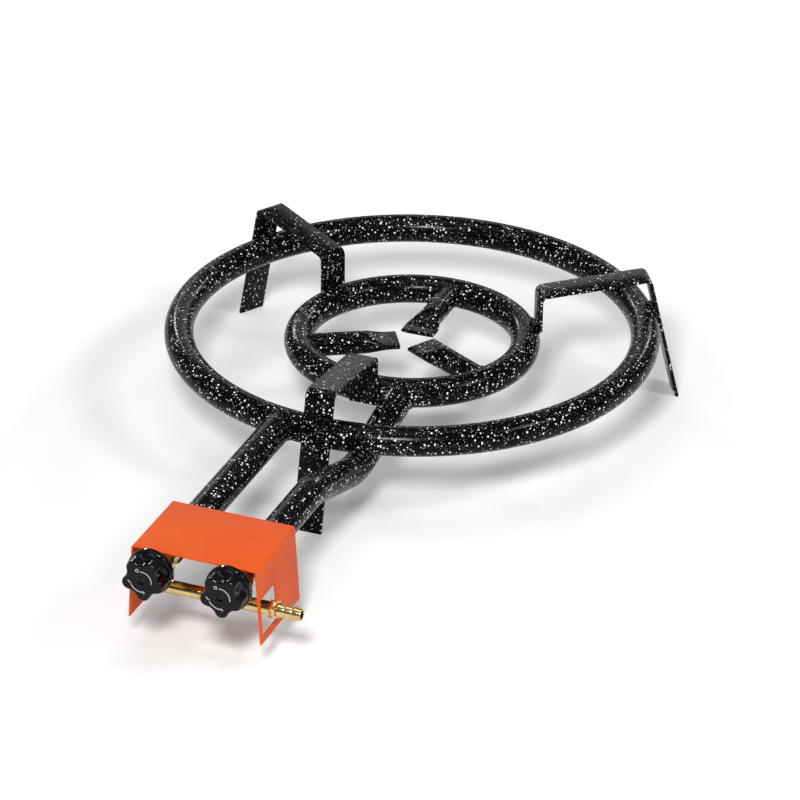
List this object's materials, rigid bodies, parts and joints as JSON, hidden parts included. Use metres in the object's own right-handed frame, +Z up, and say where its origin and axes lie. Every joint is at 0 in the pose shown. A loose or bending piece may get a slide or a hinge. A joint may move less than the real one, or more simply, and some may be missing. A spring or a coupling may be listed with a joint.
{
  "type": "paella burner",
  "caption": "Gas paella burner: enamelled tube rings with centre jets on flat-bar pan supports, fed by side-by-side tubes from gas taps under a folded orange cover with a brass hose nozzle.",
  "frame": {"origin": "on the floor, on the common axis of the two rings", "axes": "+Z up along the rings' axis; the feed tubes and the taps run along Y, with the knobs at the -Y end; the hose nozzle points to +X"},
  "size_m": [0.4249, 0.6825, 0.1149],
  "materials": {
    "black_enamel": "gloss vitreous enamel with white flecks",
    "orange_paint": "satin paint on sheet steel",
    "brass": "polished",
    "zinc_yellow": "yellow passivated zinc",
    "steel": "zinc plated",
    "black_steel": "blackened",
    "bakelite": "gloss moulded, with a finely grained face"
  },
  "bodies": {
    "burner_frame": {"outer_ring": "black_enamel", "inner_ring": "black_enamel", "back_jet": "black_enamel", "left_jet": "black_enamel", "right_jet": "black_enamel", "right_pan_support": "black_enamel", "left_pan_support": "black_enamel", "front_pan_support": "black_enamel", "outer_feed_tube": "black_enamel", "inner_feed_tube": "black_enamel", "control_cover": "orange_paint", "cover_clamp_bar": "steel", "cover_clamp_screws": "steel", "cover_weld_nuts": "steel", "injector_cup_screws": "steel", "left_bonnet_screws": "steel", "right_bonnet_screws": "steel", "left_injector_cup": "zinc_yellow", "right_injector_cup": "zinc_yellow", "left_tap_bonnet": "zinc_yellow", "right_tap_bonnet": "zinc_yellow", "left_injector": "brass", "right_injector": "brass", "left_tap_body": "brass", "right_tap_body": "brass", "manifold_pipe": "brass", "manifold_end_cap": "brass", "hose_nozzle": "brass"},
    "left_plug": {"left_tap_plug": "brass", "left_return_spring": "steel"},
    "left_handle": {"left_spindle": "steel", "left_knob": "bakelite", "left_knob_screw": "black_steel"},
    "right_plug": {"right_tap_plug": "brass", "right_return_spring": "steel"},
    "right_handle": {"right_spindle": "steel", "right_knob": "bakelite", "right_knob_screw": "black_steel"}
  },
  "joints": [
    {"name": "left_tap_turn", "type": "hinge", "parent": "burner_frame", "child": "left_plug", "pos_m": [-0.037, -0.4286, 0.075], "axis": [0, -1, 0], "range_deg": [0, 180]},
    {"name": "left_knob_push", "type": "slide", "parent": "left_plug", "child": "left_handle", "axis": [0, 1, 0], "range_m": [0, 0.0025], "stiffness_N_per_m": 1500, "springref_m": -0.001, "deforming": ["left_return_spring"]},
    {"name": "right_tap_turn", "type": "hinge", "parent": "burner_frame", "child": "right_plug", "pos_m": [0.028, -0.4286, 0.075], "axis": [0, -1, 0], "range_deg": [0, 180]},
    {"name": "right_knob_push", "type": "slide", "parent": "right_plug", "child": "right_handle", "axis": [0, 1, 0], "range_m": [0, 0.0025], "stiffness_N_per_m": 1500, "springref_m": -0.001, "deforming": ["right_return_spring"]}
  ]
}
